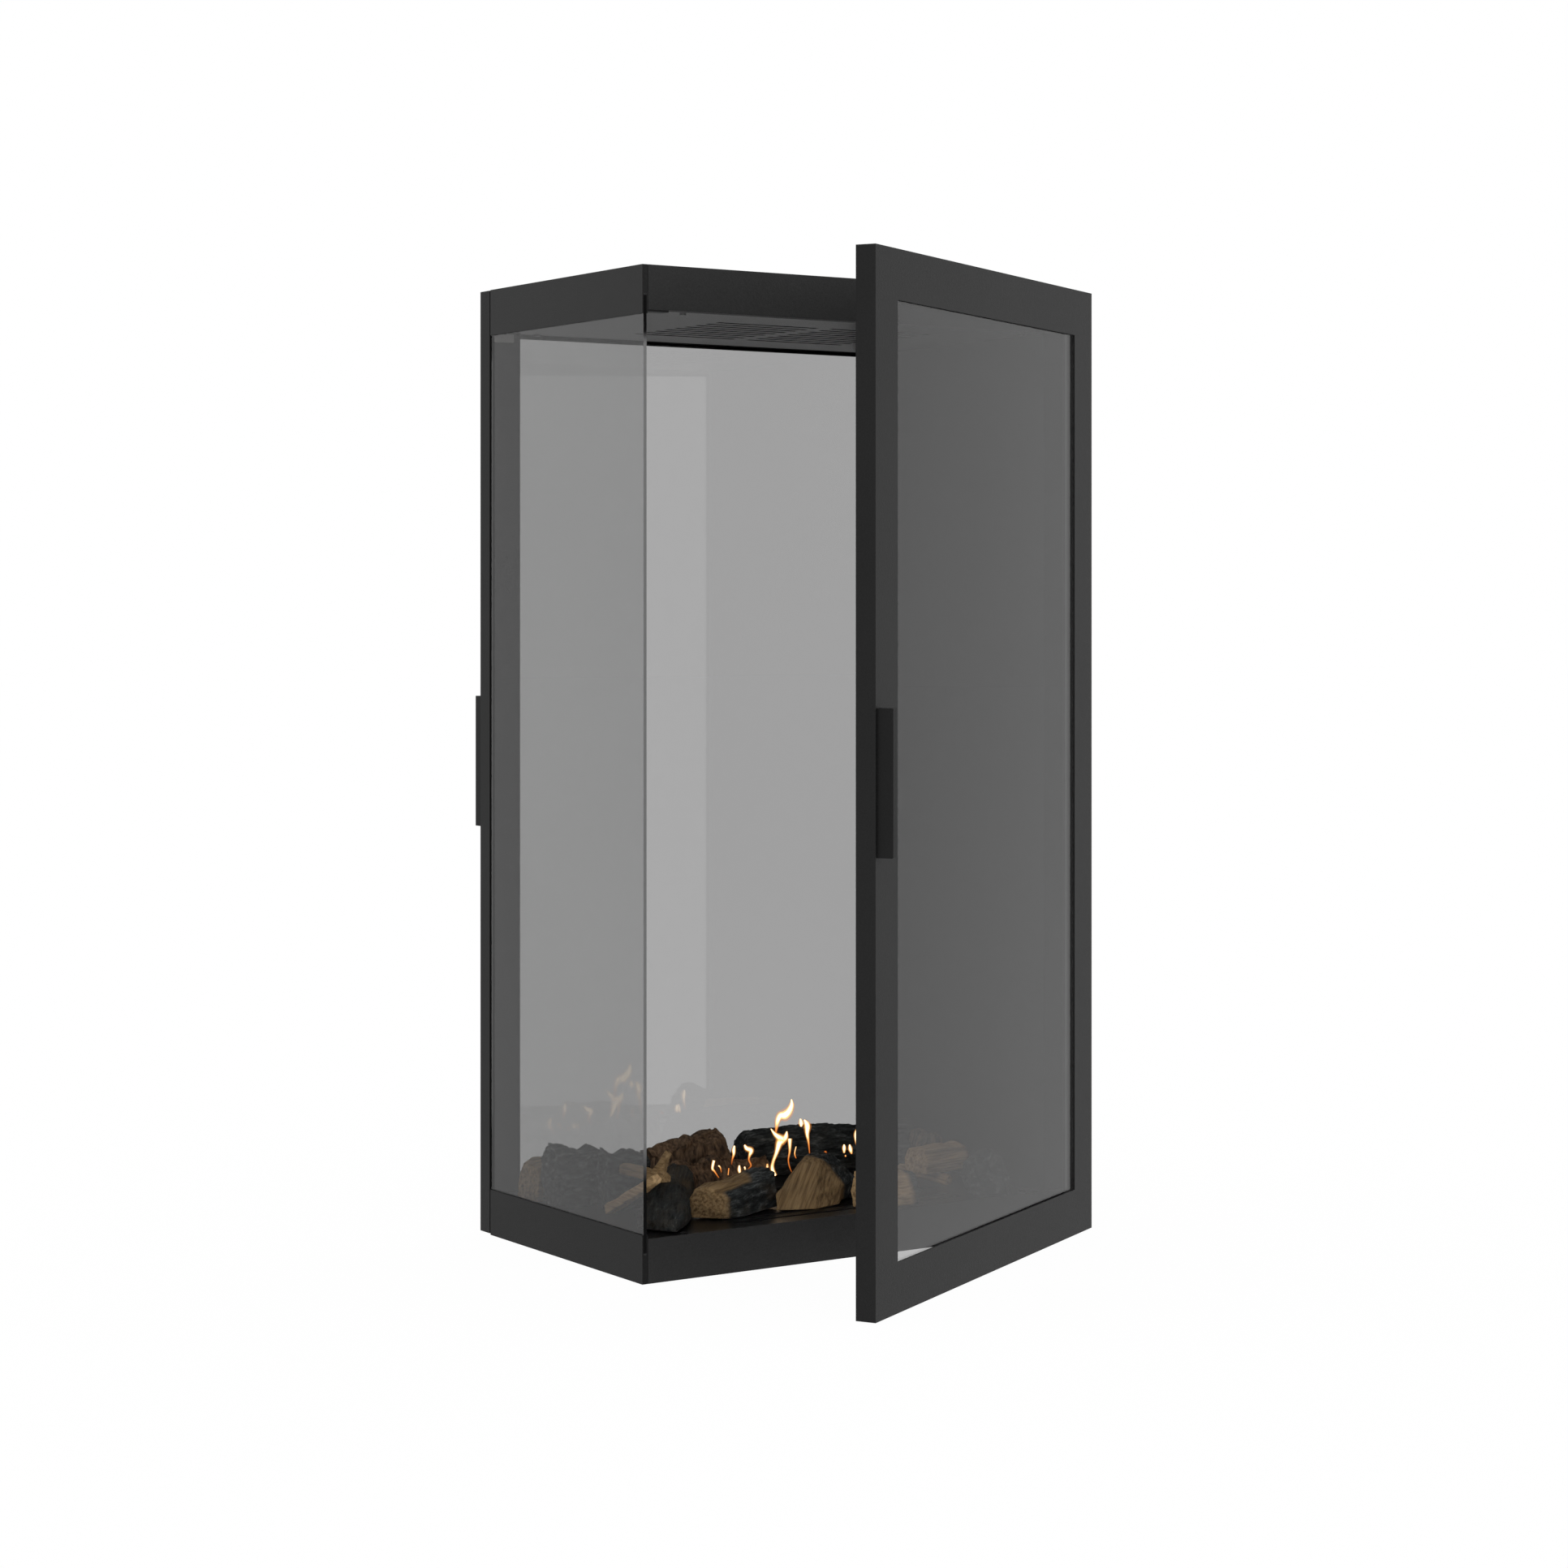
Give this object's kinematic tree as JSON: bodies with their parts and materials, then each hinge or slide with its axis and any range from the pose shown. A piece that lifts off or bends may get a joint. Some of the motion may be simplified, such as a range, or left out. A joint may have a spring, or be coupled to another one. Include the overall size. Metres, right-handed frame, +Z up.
{
  "type": "bioethanol fireplace",
  "caption": "Tall see-through bioethanol fireplace: dark steel cassette with hinged glass doors front and rear, a fixed glass end, slotted ceiling, sliding burner lid and ceramic logs.",
  "frame": {"origin": "centre of the casing's footprint on the floor, which is the centre of the floor fixing holes", "axes": "+Z up, +X from the glass end towards the closed end, -Y towards the front door"},
  "size_m": [0.6206, 0.7165, 1.125],
  "materials": {
    "powder_coat": "fine-textured anthracite powder coat",
    "hearth_coat": "smooth dark heat-resistant paint",
    "inner_black": "matte black paint",
    "steel": "brushed",
    "clear_glass": "clear ceramic glass, slightly grey",
    "seal": "woven fibre tape",
    "wool": "matted fibre",
    "log_tan": "rough split wood look",
    "log_brown": "rough bark look",
    "log_charred": "rough charred look"
  },
  "bodies": {
    "casing": {"burner_rear_log": "log_brown", "burner_tank": "steel", "burner_top": "hearth_coat", "burner_wool": "wool", "casing_screws": "inner_black", "ceiling_grille": "powder_coat", "door_catches": "inner_black", "front_centre_log": "log_tan", "front_fascia": "powder_coat", "front_hinge_post": "powder_coat", "front_left_log": "log_charred", "front_right_log": "log_tan", "front_sill": "powder_coat", "front_split_log": "log_tan", "hearth_plate": "hearth_coat", "hinge_brackets": "steel", "hinge_pins": "steel", "left_bottom_channel": "powder_coat", "left_charred_log": "log_charred", "left_fork_stick": "log_tan", "left_glass": "clear_glass", "left_glass_seals": "seal", "left_long_stick": "log_tan", "left_lump_log": "log_charred", "left_top_channel": "powder_coat", "rear_bark_log": "log_brown", "rear_charred_log": "log_charred", "rear_corner_log": "log_tan", "rear_fascia": "powder_coat", "rear_hinge_post": "powder_coat", "rear_sill": "powder_coat", "right_brown_log": "log_brown", "right_charred_log": "log_charred", "right_inner_panel": "powder_coat", "right_long_stick": "log_tan", "right_outer_panel": "powder_coat", "right_split_log": "log_tan", "slider_rails": "hearth_coat", "top_cover": "powder_coat"},
    "front_door": {"front_door_frame": "powder_coat", "front_door_inner_frame": "inner_black", "front_door_glass": "clear_glass", "front_door_glass_seal": "seal", "front_door_retainer": "inner_black", "front_door_handle": "powder_coat", "front_handle_screws": "steel", "front_door_hinge_arms": "steel", "front_door_strike": "steel"},
    "rear_door": {"rear_door_frame": "powder_coat", "rear_door_inner_frame": "inner_black", "rear_door_glass": "clear_glass", "rear_door_glass_seal": "seal", "rear_door_retainer": "inner_black", "rear_door_handle": "powder_coat", "rear_handle_screws": "steel", "rear_door_hinge_arms": "steel", "rear_door_strike": "steel"},
    "slide": {"burner_slider": "hearth_coat", "slider_knob": "inner_black"}
  },
  "joints": [
    {"name": "front_door_hinge", "type": "hinge", "parent": "casing", "child": "front_door", "pos_m": [0.293, -0.156, 0.5625], "axis": [0, 0, 1], "range_deg": [-29.2, 60.8]},
    {"name": "rear_door_hinge", "type": "hinge", "parent": "casing", "child": "rear_door", "pos_m": [0.293, 0.156, 0.5625], "axis": [0, 0, -1], "range_deg": [0, 90]},
    {"name": "slide_shut", "type": "slide", "parent": "casing", "child": "slide", "axis": [0, -1, 0], "range_m": [0, 0.04]}
  ]
}
